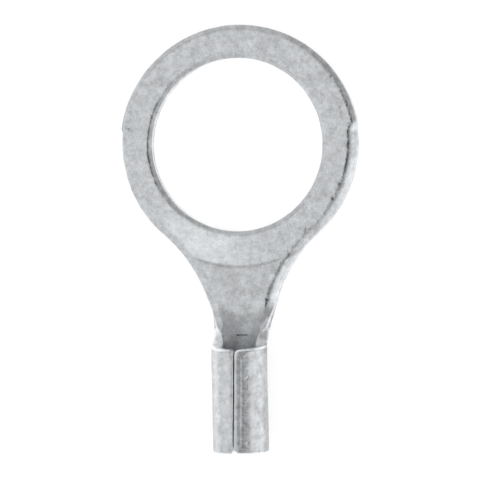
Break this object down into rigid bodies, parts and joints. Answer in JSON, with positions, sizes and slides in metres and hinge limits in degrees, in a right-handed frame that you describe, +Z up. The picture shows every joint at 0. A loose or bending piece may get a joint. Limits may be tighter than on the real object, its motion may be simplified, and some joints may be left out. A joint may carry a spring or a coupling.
{
  "type": "ring terminal",
  "caption": "Plain crimp ring terminal of tinned copper sheet: a flat ring for a half-inch stud, a neck that curls up and a butted-seam barrel for the wire.",
  "frame": {"origin": "centre of the stud hole, on the underside that bears on the stud's seat", "axes": "+Z up through the stud hole, away from the seat; -Y along the barrel toward the wire; +X across"},
  "size_m": [0.0187, 0.0332, 0.0043],
  "materials": {
    "tinned_copper": "satin"
  },
  "bodies": {
    "root": {"ring_terminal": "tinned_copper"}
  },
  "joints": []
}
